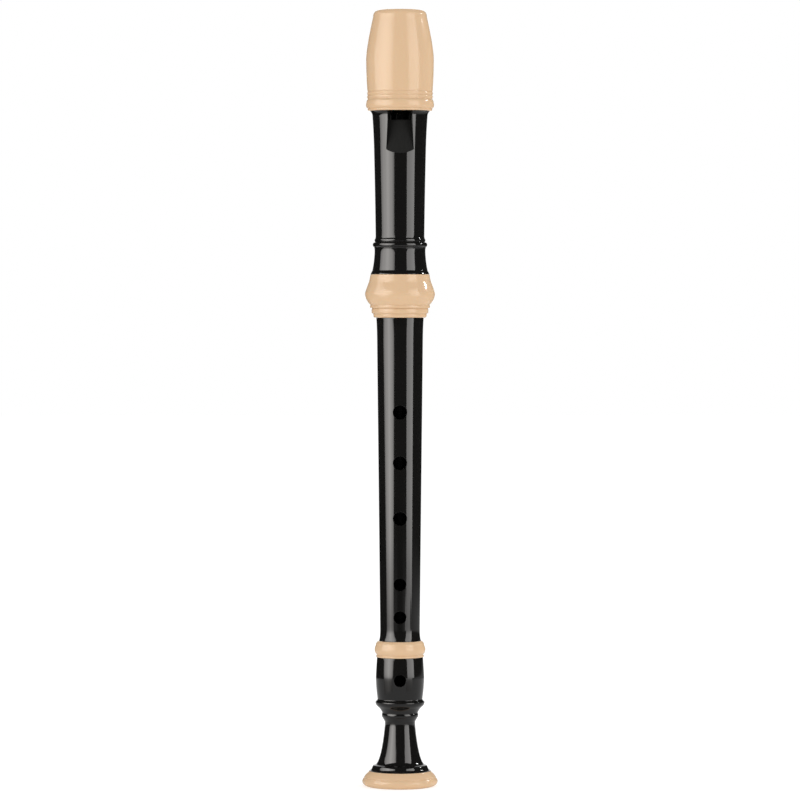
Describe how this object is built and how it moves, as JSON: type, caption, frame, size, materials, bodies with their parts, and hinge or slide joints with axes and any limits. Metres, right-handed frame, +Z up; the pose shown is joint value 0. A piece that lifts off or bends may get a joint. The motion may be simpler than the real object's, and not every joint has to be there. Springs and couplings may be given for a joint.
{
  "type": "six-hole recorder",
  "caption": "Slim upright fipple flute with a beak, a window and a front row of finger holes, in three push-fit joints with pale turned rings.",
  "frame": {"origin": "middle of the foot's flat base, on the bore's axis", "axes": "+Z up the bore towards the beak's tip; the window and the finger holes face -Y, the hollow of the beak faces +Y; +X to the right of someone looking at the holes"},
  "size_m": [0.0322, 0.0322, 0.33],
  "materials": {
    "black_plastic": "polished moulded ABS",
    "ivory_plastic": "satin moulded ABS"
  },
  "bodies": {
    "middle_joint": {"middle_tube": "black_plastic"},
    "head_joint": {"mouthpiece_cap": "ivory_plastic", "head_tube": "black_plastic", "windway_block": "black_plastic", "head_ferrule": "ivory_plastic"},
    "foot_joint": {"foot_ferrule": "ivory_plastic", "foot_tube": "black_plastic", "foot_end_ring": "ivory_plastic"}
  },
  "joints": [
    {"name": "head_slide", "type": "slide", "parent": "middle_joint", "child": "head_joint", "axis": [0, 0, 1], "range_m": [0, 0.025]},
    {"name": "foot_turn", "type": "hinge", "parent": "middle_joint", "child": "foot_joint", "pos_m": [0, 0, 0.0621], "axis": [0, 0, 1], "continuous": true}
  ]
}
